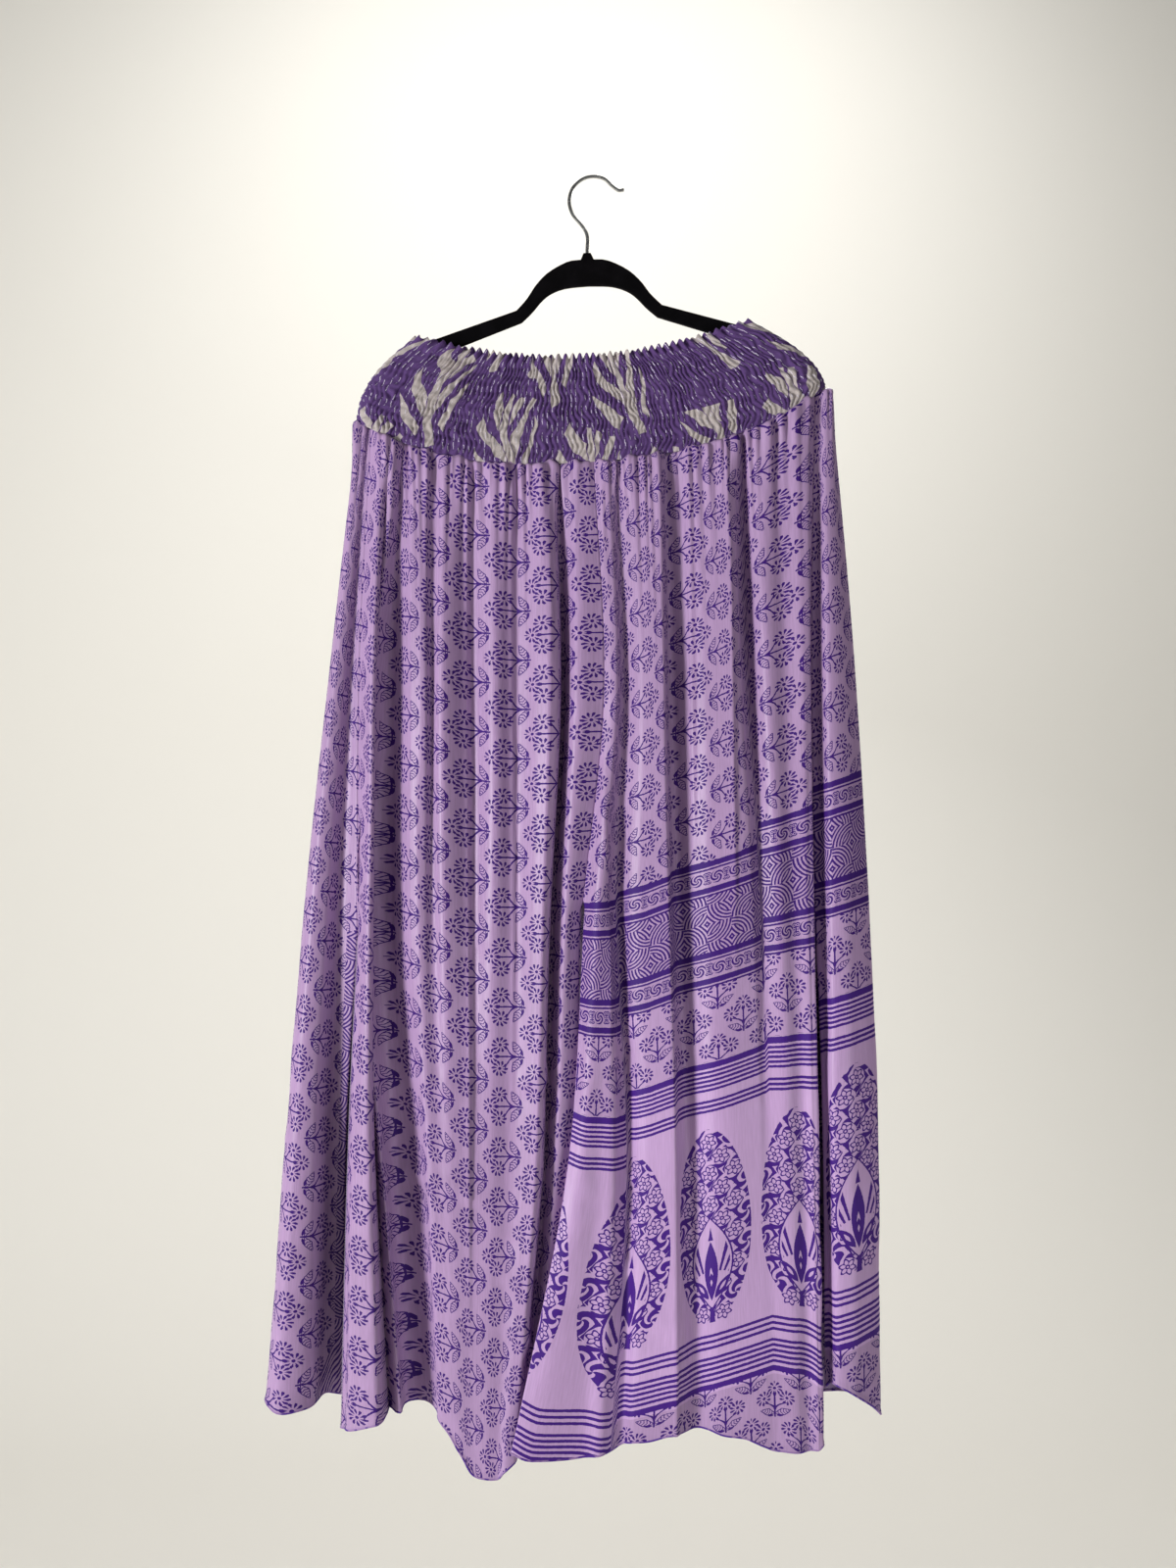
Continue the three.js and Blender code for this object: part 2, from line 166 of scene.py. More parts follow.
# a smooth curve through values given at rising stops
def through(stops, values, at):
    stops, values, at = np.array(stops, float), np.array(values, float), np.asarray(at, float)
    last = len(stops) - 1
    i = np.clip(np.searchsorted(stops, at, side="left") - 1, 0, last - 1)
    before, after = np.maximum(np.arange(last + 1) - 1, 0), np.minimum(np.arange(last + 1) + 1, last)
    slopes = (values[after] - values[before]) / (stops[after] - stops[before])
    width = stops[i + 1] - stops[i]
    s = (at - stops[i]) / width
    rise = values[i + 1] - values[i]
    bend = slopes[i] * width - rise
    unbend = rise - slopes[i + 1] * width
    return values[i] + rise * s + s * (1 - s) * ((1 - s) * bend + s * unbend)


# the height of an edge that sags between two raised ends
def sagging(edge, x):
    (x0, z0), (x1, z1) = edge["left"], edge["right"]
    share = np.clip((x - x0) / (x1 - x0), 0, 1)
    return mix(z0, z1, share) - edge["sag"] * (1 - np.abs(2 * share - 1) ** edge["power"])


# points on a centripetal curve through knots[row, knot], at shares of its knots
def curvePoints(knots, shares):
    ends = (2 * knots[:, :1] - knots[:, 1:2], 2 * knots[:, -1:] - knots[:, -2:-1])
    knots = np.concatenate([ends[0], knots, ends[1]], axis=1)
    spans = knots.shape[1] - 3
    at = shares * spans
    i = np.minimum(np.floor(at).astype(int), spans - 1)
    w = (at - i)[None, :, None]
    p = [knots[:, i + k] for k in range(4)]
    least = 1e-6
    apart = [np.linalg.norm(p[k + 1] - p[k], axis=2, keepdims=True) for k in range(3)]
    gap = [np.maximum(distance, least) ** 0.5 for distance in apart]
    leave = (p[1] - p[0]) / gap[0] - (p[2] - p[0]) / (gap[0] + gap[1]) + (p[2] - p[1]) / gap[1]
    arrive = (p[2] - p[1]) / gap[1] - (p[3] - p[1]) / (gap[1] + gap[2]) + (p[3] - p[2]) / gap[2]
    leave, arrive = leave * gap[1], arrive * gap[1]
    return (p[1] + leave * w + (3 * (p[2] - p[1]) - 2 * leave - arrive) * w ** 2
            + (2 * (p[1] - p[2]) + leave + arrive) * w ** 3)


def edgeRows(edge, v):
    above, below, split = edge
    x, y = (np.where(v <= split, through(above[0], above[k], v), through(below[0], below[k], v))
            for k in (1, 2))
    return np.stack([x, y, np.full_like(v, below[3])], axis=1)


def foldRows(fold, side, v):
    x, out, low = fold
    if isinstance(out, list):
        depth = through(levels, out, v)
    else:
        stands = through(levels, out, v) if isinstance(out, tuple) else out
        depth = side * (through(levels, halfDepth, v) + stands * through(levels, foldStrength, v))
    return np.stack([through(levels, x, v), depth, np.full_like(v, low)], axis=1)


def panelKnots(panel, v):
    side, folds, first, last = panel
    rows = [edgeRows(first, v), *[foldRows(fold, side, v) for fold in folds], edgeRows(last, v)]
    return np.stack(rows, axis=1)


# shares of the knots that lie evenly along the cloth
def evenShares(knots, count):
    samples = 1200
    fine = np.linspace(0, 1, samples)
    steps = np.linalg.norm(np.diff(curvePoints(knots, fine)[:, :, :2], axis=1), axis=2).mean(axis=0)
    along = np.concatenate([[0], np.cumsum(steps)])
    return np.interp(np.linspace(0, along[-1], count), along, fine)


# smooth random unevenness, seeded, on cells of the given size
def unevenness(u, v, cellU, cellV, seed):
    size, offset = (97, 89), 300
    table = np.random.default_rng(seed).uniform(-1, 1, size)
    a, b = u / cellU + offset, v / cellV + offset
    i, j = np.floor(a).astype(int), np.floor(b).astype(int)
    s, t = smooth(0, 1, a - i), smooth(0, 1, b - j)

    def corner(di, dj):
        return table[(i + di) % size[0], (j + dj) % size[1]]

    return mix(mix(corner(0, 0), corner(1, 0), s), mix(corner(0, 1), corner(1, 1), s), t)


# a mesh from a bmesh grid, its points placed in rows from the foot up, with the cloth's own flat map
def clothMesh(name, places, flat):
    rows, columns = places.shape[:2]
    bm = bmesh.new()
    bmesh.ops.create_grid(bm, x_segments=columns - 1, y_segments=rows - 1, size=1)
    mesh = bpy.data.meshes.new(name)
    bm.to_mesh(mesh)
    bm.free()
    grid = np.empty(len(mesh.vertices) * 3)
    mesh.vertices.foreach_get("co", grid)
    grid = grid.reshape(-1, 3)
    i = np.rint((grid[:, 0] + 1) / 2 * (columns - 1)).astype(int)
    j = np.rint((grid[:, 1] + 1) / 2 * (rows - 1)).astype(int)
    mesh.vertices.foreach_set("co", (places[j, i] * mm).ravel())
    corners = np.empty(len(mesh.loops), dtype=np.int32)
    mesh.loops.foreach_get("vertex_index", corners)
    mapLayer = mesh.uv_layers.new(name="clothMap")
    mapLayer.data.foreach_set("uv", (flat[j, i] * mm)[corners].ravel())
    mesh.polygons.foreach_set("use_smooth", np.ones(len(mesh.polygons), dtype=bool))
    mesh.update()
    piece = bpy.data.objects.new(name + "_cloth", mesh)
    bpy.context.collection.objects.link(piece)
    return piece


# two faces of thin cloth, the reverse in its own material
def giveThickness(piece, thickness, face, reverse):
    for material in (face, reverse):
        piece.data.materials.append(material)
    wall = piece.modifiers.new("cloth thickness", "SOLIDIFY")
    wall.thickness = thickness * mm
    wall.offset = 0
    wall.material_offset = 1


# Leg panels
leg = {
    "thickness": 0.6, "columns": 181,
    "gathers": [(27, 2.4, 110), (14.3, 3.4, 70), (8.1, 1.9, 28)],  # spacing, height and reach down
    "pleatRise": 0.76, "ripple": 1.3, "rippleWidth": 34, "rippleLength": 300,
    "crumple": 1.0, "crumpleWidth": 34, "crumpleLength": 62, "poof": 3.8, "poofReach": 34, "bulge": 3.6,
    "hemRoll": 0.8, "hemRollUp": 2.5, "hemRollHalf": 2.6, "hemWave": 2.0, "hemWaveWidth": 19,
    "lapSlopes": (2.6, 0.5), "seed": 20,
}
legRows = np.concatenate([[0, 0.0007, 0.0016, 0.0028, 0.0042], np.linspace(0.006, 0.09, 36)[:-1],
                          np.linspace(0.09, 0.985, 96)[:-1], np.linspace(0.985, 1, 9)])
# small creases: panel, place across, place up, length, width, tilt, height
creases = [
    ("left_leg_front", -186, -1000, 34, 7, 8, 3.5),
    ("left_leg_front", -122, -1012, 40, 6, -10, 3.2),
    ("left_leg_front", -92, -1046, 22, 6, 20, 2.9),
    ("left_leg_front", -150, -905, 46, 9, -6, 2.6),
    ("left_leg_front", -60, -900, 40, 7, 30, 2.6),
    ("left_leg_front", -110, -760, 46, 10, 10, 1.9),
    ("left_leg_front", -70, -1150, 40, 9, -35, 2.9),
    ("left_leg_back", -285, -1100, 30, 8, -25, 1.6),
    ("left_leg_back", -292, -960, 30, 8, 20, 1.3),
    ("right_leg_front", 6, -1028, 30, 6, 32, 3.0),
    ("right_leg_front", 14, -1052, 26, 5, -24, 2.6),
    ("right_leg_front", -6, -1000, 24, 6, -30, 2.2),
    ("right_leg_front", -12, -1100, 30, 8, 40, 2.0),
    ("right_leg_front", 120, -870, 60, 10, 12, 1.3),
    ("right_leg_front", 60, -1130, 44, 8, -14, 1.8),
    ("right_leg_front", 90, -1190, 50, 8, 10, 1.6),
    ("right_leg_front", 130, -1030, 50, 9, 14, 1.3),
    ("left_leg_front", -150, -1000, 30, 6, 14, 2.6),
    ("left_leg_front", -86, -1090, 26, 6, -30, 2.4),
    ("left_leg_front", -132, -1120, 40, 8, 12, 2.2),
    ("right_leg_front", 30, -1000, 26, 6, 40, 2.4),
    ("right_leg_front", 22, -1075, 26, 6, -36, 2.6),
    ("right_leg_front", 10, -880, 40, 6, 60, 2.0),
]
# long folds that the cloth's lines leave soft: panel, places across at the levels, width, height,
# and the shares of the drop where each starts, is full and is gone
longFolds = [
    ("left_leg_front", [-205, -207, -208, -209, -198], 5.2, -14, 0.0, 0.12, 2),
    ("left_leg_front", [-207, -208, -207, -206, -195], 5.6, -16, 0.3, 0.45, 2),
    ("left_leg_front", [-207, -209, -198, -186, -170], 17, -13, 0.5, 0.8, 2),
    ("left_leg_front", [-214, -216, -217, -217, -208], 4, 4.5, 0.36, 0.5, 2),
    ("left_leg_front", [-230, -232, -232, -234, -238], 5, 3.5, 0.3, 0.5, 2),
    ("left_leg_front", [-171, -172, -168, -160, -150], 6, -3, 0.0, 0.08, 0.5),
    ("left_leg_front", [-131, -122, -121, -120, -116], 9, -4, 0.0, 0.1, 0.55),
    ("left_leg_front", [-83, -82, -80, -78, -90], 8, -3, 0.02, 0.1, 0.5),
    ("left_leg_front", [-167, -166, -165, -160, -150], 2.8, 4.0, 0.0, 0.03, 0.5),
    ("left_leg_front", [-126, -125, -123, -122, -120], 3.2, 4.5, 0.0, 0.03, 0.8),
    ("left_leg_front", [-80, -80, -79, -80, -84], 2.8, 3.6, 0.0, 0.03, 0.6),
    ("left_leg_front", [-44, -42, -49, -57, -80], 2.6, 3.0, 0.0, 0.03, 2),
    ("left_leg_front", [-181, -179, -180, -172, -160], 3, 1.2, 0.02, 0.1, 0.6),
    ("right_leg_front", [26, 31, 24, 33, 26], 6, -7, 0.3, 0.5, 2),
    ("right_leg_front", [14, 18, 15, 16, 4], 9, 6, 0.42, 0.55, 2),
    ("right_leg_front", [64, 67, 72, 79, 80], 3.0, 4.0, 0.0, 0.04, 2),
    ("right_leg_front", [9, 10, 12, 12, 4], 2.8, 3.4, 0.0, 0.03, 0.6),
    ("right_leg_front", [96, 98, 100, 104, 108], 2.6, 2.6, 0.0, 0.03, 0.4),
    ("right_leg_front", [134, 135, 138, 140, 144], 3.0, 3.4, 0.0, 0.03, 0.5),
    ("right_leg_front", [76, 77, 80, 86, 90], 6, -4, 0.0, 0.3, 0.85),
    ("right_leg_front", [144, 153, 164, 172, 178], 6, -4, 0.0, 0.06, 0.3),
    ("right_leg_front", [205, 210, 213, 217, 222], 4, -2, 0.1, 0.4, 2),
    ("right_leg_back", [230, 240, 246, 251, 254], 9, 1.5, 0.3, 0.6, 2),
    ("right_leg_back", [180, 193, 202, 208, 210], 3, 1.6, 0.02, 0.1, 2),
    ("right_leg_back", [104, 112, 112, 104, 86], 3, 1.8, 0.02, 0.1, 2),
    ("left_leg_back", [-116, -119, -124, -129, -140], 3, 1.8, 0.02, 0.1, 2),
    ("left_leg_back", [-188, -208, -218, -226, -234], 3, 1.6, 0.02, 0.1, 2),
]


# gathers held by the waist seam: uneven pleats that open as they run down
def gathers(c, drop):
    total = 0
    for k, (spacing, height, reach) in enumerate(leg["gathers"]):
        phase = 2 * math.pi * (c / spacing + 0.34 * np.sin(c / 17.3 + k) + 0.21 * np.sin(c / 7.9 + 2 * k))
        strength = 0.75 + 0.45 * unevenness(c, drop * 0, spacing * 1.7, 50, 11 + k)
        part = np.mod(phase / 2 / math.pi, 1)
        rise = leg["pleatRise"]  # full tops, steep to the right
        lapped = 2 * np.minimum(part / rise, (1 - part) / (1 - rise)) ** 0.7 - 1.2
        pleat = lapped * np.exp(-(drop / reach) ** 1.3)
        total = total + height * strength * pleat
    return total * (0.55 + 0.45 * smooth(0, 7, drop))


# the long folds of one panel, added to the push outward; a narrow fold is a lap, steep to the right
def withLongFolds(push, name, x, v):
    for panel, places, width, height, start, full, gone in longFolds:
        if panel != name:
            continue
        across = x - through(levels, places, legRows)[:, None]
        lap = np.exp(-np.abs(across) / width / np.where(across < 0, *leg["lapSlopes"]))
        lasts = smooth(start - 0.001, full, v) * (1 - smooth(gone - 0.15, gone + 0.1, v))
        push = push + height * lasts * (lap if width < 5 else np.exp(-(across / width) ** 2))
    return push


# the small creases of one panel: a ridge with a shallower trough beside it
def withCreases(push, name, x, z):
    for panel, cx, cz, length, width, tilt, height in creases:
        if panel != name:
            continue
        turn = math.radians(tilt)
        across, down = x - cx, z - cz
        a = across * math.cos(turn) + down * math.sin(turn)
        b = -across * math.sin(turn) + down * math.cos(turn) + 4 * np.sin(a / 14)
        push = push + height * np.exp(-(a / length * 1.6) ** 2) * (
            np.exp(-(b / width) ** 2) - 0.6 * np.exp(-((b + width * 1.3) / width) ** 2))
    return push


edges = {}  # filled as the legs are built, for the hems and the overlocked slits


def buildLeg(name):
    side = panels[name][0]
    knots = panelKnots(panels[name], legRows)
    shares = evenShares(knots, leg["columns"])
    line = curvePoints(knots, shares)
    x, y, low = line[:, :, 0], line[:, :, 1], line[:, :, 2]
    v = legRows[:, None]
    top = sagging(waistSeam, x[0])[None, :]
    z = mix(top, low, v)
    drop = top - z
    run = np.stack([np.gradient(x, axis=1), np.gradient(y, axis=1)])
    run = run / np.linalg.norm(run, axis=0)
    step = np.hypot(np.diff(x, axis=1), np.diff(y, axis=1))
    along = np.concatenate([np.zeros((len(legRows), 1)), np.cumsum(step, axis=1)], axis=1)
    flatAcross = np.broadcast_to(along[legRows > 0.3].mean(axis=0)[None, :], x.shape)
    seed = leg["seed"] + 5 * list(panels).index(name)
    fromEdge = np.minimum(along, along[:, -1:] - along)
    hold = smooth(0, 14, fromEdge)
    topAlong = along[0][None, :] + 60 * side
    puff = smooth(-0.5, 2.2, drop) * np.exp(-(drop / leg["poofReach"]) ** 2)
    tucks = topAlong / 2.1 + np.sin(topAlong / 9)
    push = gathers(topAlong, drop) * smooth(-0.8, 2, drop) + leg["poof"] * puff * (0.9 + 0.3 * np.sin(tucks))
    calm = 0.35 + 0.65 * smooth(-0.35, 0.45, unevenness(flatAcross, drop, 75, 380, seed + 3))
    push = push + leg["ripple"] * calm * smooth(20, 160, drop) * unevenness(
        flatAcross + 6 * np.sin(drop / 160), drop, leg["rippleWidth"], leg["rippleLength"], seed)
    push = withLongFolds(push, name, x, v)
    push = push + leg["crumple"] * smooth(0.35, 0.8, v) * unevenness(
        flatAcross * 0.8 + drop * 0.35, drop, leg["crumpleWidth"], leg["crumpleLength"], seed + 1)
    push = withCreases(push, name, x, z) * hold
    push = push + leg["hemRoll"] * np.exp(-((z - low - leg["hemRollUp"]) / leg["hemRollHalf"]) ** 2)
    bulges = np.maximum(0, np.sin(topAlong / 6.1 + 1.5 * np.sin(topAlong / 23))) ** 1.4
    z = z + (1 - smooth(0, 5, drop)) * (1.0 + 0.5 * np.sin(tucks + 1.2) + leg["bulge"] * bulges)
    z = z + leg["hemWave"] * smooth(0.93, 1, v) * unevenness(
        flatAcross, drop * 0, leg["hemWaveWidth"], 50, seed + 2)
    places = np.stack([x + run[1] * push, y - run[0] * push, z], axis=2)
    below = legRows > slitTop
    column, inner = (0, 2) if name in slitFirst else (-1, -3)
    edges[name] = {"side": side, "hem": places[-1],
                   "slit": places[below, column], "inner": places[below, inner]}
    if name == "left_leg_back":  # its print is measured from the slit
        flatAcross = flatAcross - flatAcross.max()
    flat = np.stack([flatAcross, -drop], axis=2)
    if name == "right_leg_front":
        flat = slantedPrint(borderFront, x, z, flatAcross)
    elif name == "right_leg_back":
        flat = slantedPrint(borderBack, x, z, flatAcross)
    return clothMesh(name, places[::-1], flat[::-1])


# The border on the right leg climbs across the front. Its top is the print's zero, and down is negative.
# Across is measured at crotch level. A lap hides some cloth, so the print steps there; the back has none.
borderFront = {
    "across": [-40, -11.5, 21, 23, 49, 80, 163, 186, 216], "slide": -26,
    "up": [-745, -725, -722, -714, -707, -694, -667, -660, -650],
    "stretch": [0.955, 0.955, 1.0, 0.925, 0.92, 0.92, 0.92, 0.94, 0.98], "lap": 163, "lapStep": 22,
}
borderBack = {
    "across": [-20, 100, 216, 240, 272], "up": [-725, -660, -612, -603, -594],
    "stretch": [1, 1, 1, 1, 1], "slide": 0, "lap": 400, "lapStep": 0,
}


def slantedPrint(lay, x, z, flatAcross):
    level = np.argmin(np.abs(legRows - crotch))
    across = np.broadcast_to(x[level][None, :], x.shape)
    start = np.interp(across, lay["across"], lay["up"])
    stretch = np.interp(across, lay["across"], lay["stretch"])
    down = (start - z) / stretch
    down = down + lay["lapStep"] * smooth(lay["lap"], lay["lap"] + 2, across) * (1 - smooth(-40, 340, down))
    return np.stack([flatAcross + lay["slide"], -down], axis=2)


# Hems and overlocked edges, in millimetres
sewing = {"hemRadius": 1.25, "hemLift": 0.9, "threadRadius": 0.3, "pitch": 2.7, "reach": 3.6, "proud": 0.65,
          "hemStep": 3.0, "overhang": 0.3}


# a round line through points in millimetres, made a mesh
def roundLine(name, path, radius):
    line = bpy.data.curves.new(name, "CURVE")
    line.dimensions = "3D"
    line.bevel_depth = radius * mm
    line.bevel_resolution = 1
    line.use_fill_caps = True
    spline = line.splines.new("POLY")
    spline.points.add(len(path) - 1)
    spline.points.foreach_set("co", np.hstack([path * mm, np.ones((len(path), 1))]).ravel())
    drawn = bpy.data.objects.new(name + "_path", line)
    piece = bpy.data.objects.new(name, bpy.data.meshes.new_from_object(drawn))
    bpy.data.objects.remove(drawn)
    bpy.context.collection.objects.link(piece)
    for face in piece.data.polygons:
        face.use_smooth = True
    return piece


def spaced(path, pitch):
    along = np.concatenate([[0], np.cumsum(np.linalg.norm(np.diff(path, axis=0), axis=1))])
    at = np.arange(0, along[-1], pitch)
    return np.stack([np.interp(at, along, path[:, k]) for k in range(3)], axis=1), at / along[-1]


def buildHem(name):
    path = spaced(edges[name]["hem"], sewing["hemStep"])[0]
    path[:, 2] += sewing["hemLift"]
    return roundLine(name + "_hem", path, sewing["hemRadius"])


# a zigzag of thread over the raw edge of the slit
def buildOverlock(name):
    outer, share = spaced(edges[name]["slit"], sewing["pitch"] / 2)
    given = np.linspace(0, 1, len(edges[name]["inner"]))
    inner = np.stack([np.interp(share, given, edges[name]["inner"][:, k]) for k in range(3)], axis=1)
    inward = inner - outer
    inward[:, 2] = 0
    inward = inward / np.linalg.norm(inward, axis=1, keepdims=True)
    sign = edges[name]["side"] * (1 if name in slitFirst else -1)
    proud = np.stack([-inward[:, 1], inward[:, 0], inward[:, 2]], axis=1) * sign
    step = (np.arange(len(outer)) % 2)[:, None]
    path = outer + inward * (sewing["reach"] * step - sewing["overhang"]) + proud * sewing["proud"]
    return roundLine(name + "_overlock", path, sewing["threadRadius"])


# Waistband
bandLook = {
    "ribs": 5.2, "ribHeight": 1.7, "rows": 13, "rowDepth": 1.1, "frill": 3.0, "thickness": 0.7,
    "topDepth": 11.5, "bottomDepth": 14.5, "proud": 0.54, "leanLeft": 2.1, "leanRight": 1.9,
    "columns": 421, "backStart": 900, "frillWidth": 11.7, "edgeWave": 1.9, "edgeWidth": 9.3,
}
bandRows = np.linspace(0, 1, 66)


def bandKnots(side, v):
    x0 = mix(topEdge["left"][0], waistSeam["left"][0], 1 - (1 - v) ** bandLook["leanLeft"])
    x1 = mix(topEdge["right"][0], waistSeam["right"][0], 1 - (1 - v) ** bandLook["leanRight"])
    depth = mix(bandLook["topDepth"], bandLook["bottomDepth"], v)
    bow = [(0, 0), (2, 0.45), (9, 0.82), (28, 0.97)]  # in from the side, and the share of the depth there
    zero = np.zeros_like(v)
    left = [np.stack([x0 + step, side * depth * share, zero], axis=1) for step, share in bow]
    right = [np.stack([x1 - step, side * depth * share, zero], axis=1) for step, share in bow]
    middle = np.stack([(x0 + x1) / 2, side * depth, zero], axis=1)
    rows = [*left, middle, *right[::-1]] if side < 0 else [*right, middle, *left[::-1]]
    return np.stack(rows, axis=1)


def buildBand(name, side):
    knots = bandKnots(side, bandRows)
    line = curvePoints(knots, evenShares(knots, bandLook["columns"]))
    x, y = line[:, :, 0], line[:, :, 1]
    v = bandRows[:, None]
    z = mix(sagging(topEdge, x[0])[None, :], sagging(waistSeam, x[-1])[None, :], v)
    run = np.stack([np.gradient(x, axis=1), np.gradient(y, axis=1)])
    run = run / np.linalg.norm(run, axis=0)
    step = np.hypot(np.diff(x, axis=1), np.diff(y, axis=1))
    along = np.concatenate([np.zeros((len(bandRows), 1)), np.cumsum(step, axis=1)], axis=1)
    c = along[-1][None, :] + bandLook["backStart"] * (side > 0)
    height = (z[0] - z[-1]).mean()
    row = v * bandLook["rows"]
    drift = 0.8 * unevenness(c, v * height, 9, 16, 61) + 0.35 * np.sin(row * 2.1)
    phase = 2 * math.pi * (c / bandLook["ribs"] + drift)
    rib = np.sin(phase + 0.4 * np.sin(phase)) * (0.8 + 0.4 * unevenness(c, v * height, 11, 14, 62))
    puff = np.abs(np.sin(math.pi * (row - 0.5)))
    inFrill = 1 - smooth(0.06, 0.12, v)
    push = bandLook["ribHeight"] * rib * (0.55 + 0.45 * puff) * (1 - 0.65 * inFrill)
    push = push - bandLook["rowDepth"] * (1 - puff) * (1 - inFrill) * 0.8
    frill = np.sin(2 * math.pi * c / bandLook["frillWidth"] + 1.4 * np.sin(c / 19))
    push = push + bandLook["frill"] * inFrill * frill * smooth(0.11, 0, v)
    push = push * smooth(0, 5, np.minimum(along, along[:, -1:] - along))
    push = push * (1 - 0.85 * smooth(0.955, 1, v)) + bandLook["proud"] - 1.2 * smooth(0.95, 1, v)
    wave = np.sin(2 * math.pi * c / bandLook["edgeWidth"] + 2 * np.sin(c / 23))
    z = z + bandLook["edgeWave"] * inFrill * smooth(0.05, 0, v) * wave + 0.3 * v
    places = np.stack([x + run[1] * push, y - run[0] * push, z], axis=2)
    flat = np.stack([np.broadcast_to(part, x.shape) for part in (along[-1][None, :], -v * height)], axis=2)
    return clothMesh(name, places[::-1], flat[::-1])


# Materials
def hexToLinear(text):
    parts = [int(text[i:i + 2], 16) / 255 for i in (1, 3, 5)]
    return (*[p / 12.92 if p <= 0.04045 else ((p + 0.055) / 1.055) ** 2.4 for p in parts], 1)


def addNode(tree, kind, inputs, **settings):
    node = tree.nodes.new(kind)
    for key, value in settings.items():
        setattr(node, key, value)
    for key, value in inputs.items():
        value = getattr(value, "socket", value)
        if isinstance(value, bpy.types.NodeSocket):
            tree.links.new(value, node.inputs[key])
        else:
            node.inputs[key].default_value = value
    return node


# a number in a node tree that can be written into a formula; & and | join masks of 0 and 1
class Value:
    def __init__(self, tree, socket):
        self.tree, self.socket = tree, socket

    def do(self, operation, *others):
        inputs = dict(enumerate([self, *others]))
        return Value(self.tree, addNode(self.tree, "ShaderNodeMath", inputs, operation=operation).outputs[0])

    __add__ = __radd__ = partialmethod(do, "ADD")
    __sub__ = partialmethod(do, "SUBTRACT")
    __rsub__ = partialmethod(do, "MULTIPLY_ADD", -1)
    __mul__ = __rmul__ = __and__ = partialmethod(do, "MULTIPLY")
    __truediv__ = partialmethod(do, "DIVIDE")
    __lt__ = partialmethod(do, "LESS_THAN")
    __gt__ = partialmethod(do, "GREATER_THAN")
    __or__ = partialmethod(do, "MAXIMUM")
    __invert__ = partialmethod(do, "MULTIPLY_ADD", -1, 1)
    __abs__ = partialmethod(do, "ABSOLUTE")


def band(a, low, high):
    return a.do("COMPARE", (low + high) / 2, (high - low) / 2)


def wrap(a, period):
    return a.do("WRAP", period / 2, -period / 2)


def choose(a, b, share):
    return (b - a).do("MULTIPLY_ADD", share, a)


def anyOf(first, *others):
    for mask in others:
        first = first | mask
    return first


def length(x, y):
    return (x * x).do("ADD", y * y).do("SQRT")


def turn(x, y):
    return y.do("ARCTAN2", x)


# the nearest centre on a half-drop lattice: the place measured from it
def halfDrop(x, y, across, up):
    s, t = wrap(x, across), wrap(y, up)
    own = (abs(s) / (across / 2) + abs(t) / (up / 2)) < 1
    return choose(wrap(x + across / 2, across), s, own), choose(wrap(y + up / 2, up), t, own)


# a stemmed sprig, 35 mm tall: three daisies over two hatched leaves
sprigLook = {
    "across": 48.7, "up": 64, "sideDaisyOut": 11.6, "sideDaisyDrop": 8.2, "topDaisyUp": 12.5,
    "petals": 10, "petalTwist": 0.35, "petalFrom": 2.3, "petalTo": 7.6, "heart": 1.5,
    "leafLength": 8.6, "leafHalf": 3.7, "leafVein": 0.3,
}


def sprig(x, y):
    look = sprigLook
    s, t = halfDrop(x, y, look["across"], look["up"])
    ax = abs(s)
    aside = ax.do("MULTIPLY_ADD", 1.375, 0.94) > t
    dx = ax - aside * look["sideDaisyOut"]
    dy = aside.do("MULTIPLY_ADD", look["sideDaisyDrop"], -look["topDaisyUp"]) + t
    r = length(dx, dy)
    ray = (turn(dx, dy) * look["petals"] + r * look["petalTwist"]).do("COSINE")
    petals = band(r, look["petalFrom"], look["petalTo"]) & (ray > abs(r - 5.6) * 0.5 - 0.5)
    daisy = petals | (r < look["heart"])
    bend = (t + 10) * (t + 10) * 0.125
    stems = (band(ax, -1, 0.8) & band(t, -18, 7)) | ((abs(ax - bend) < 1.2) & band(t, -10, -0.5))
    a, b = ax * 0.9 + (t + 14.5) * 0.44, (t + 14.5) * 0.9 - ax * 0.44
    half = (1 - abs(a - 8.5) / look["leafLength"]).do("MAXIMUM", 0).do("POWER", 0.75) * look["leafHalf"]
    vein = (a * 0.36 - abs(b) * 0.2).do("FRACT") < look["leafVein"]
    leaf = (half > 0.3) & (band(abs(b) - half, -0.7, 0.1) | ((abs(b) < half) & vein))
    c, d = ax * 0.97 + (t + 16.5) * 0.24, (t + 16.5) * 0.97 - ax * 0.24
    sepal = abs(d) < (c - 1) * (8.5 - c) * 0.085
    return daisy | stems | leaf | sepal


# a running scroll: two-armed spirals with curls between them
def scroll(x, y):
    s = wrap(x, 18.5)
    r = length(s, y)
    spiral = (r < 6.7) & ((turn(s, y) * 3 - r * 1.75).do("COSINE") > -0.15)
    ax, ay = abs(abs(s) - 9.25), abs(y)
    q = length(ax - 1.4, ay - 4.1)
    bar = (band(ax, -1, 0.6) & (ay < 3)) | band(length(ax - 2.2, ay), 0.2, 1.1)
    return spiral | ((band(q, 1.3, 2.4) | (q < 0.7) | bar) & (r > 7.3))


# interlaced rings of fine pale lines on a dark ground: 1 on the pale lines
ringLook = {"across": 46, "up": 40, "inner": 11.5, "outer": 25.2, "pitch": 3.4}


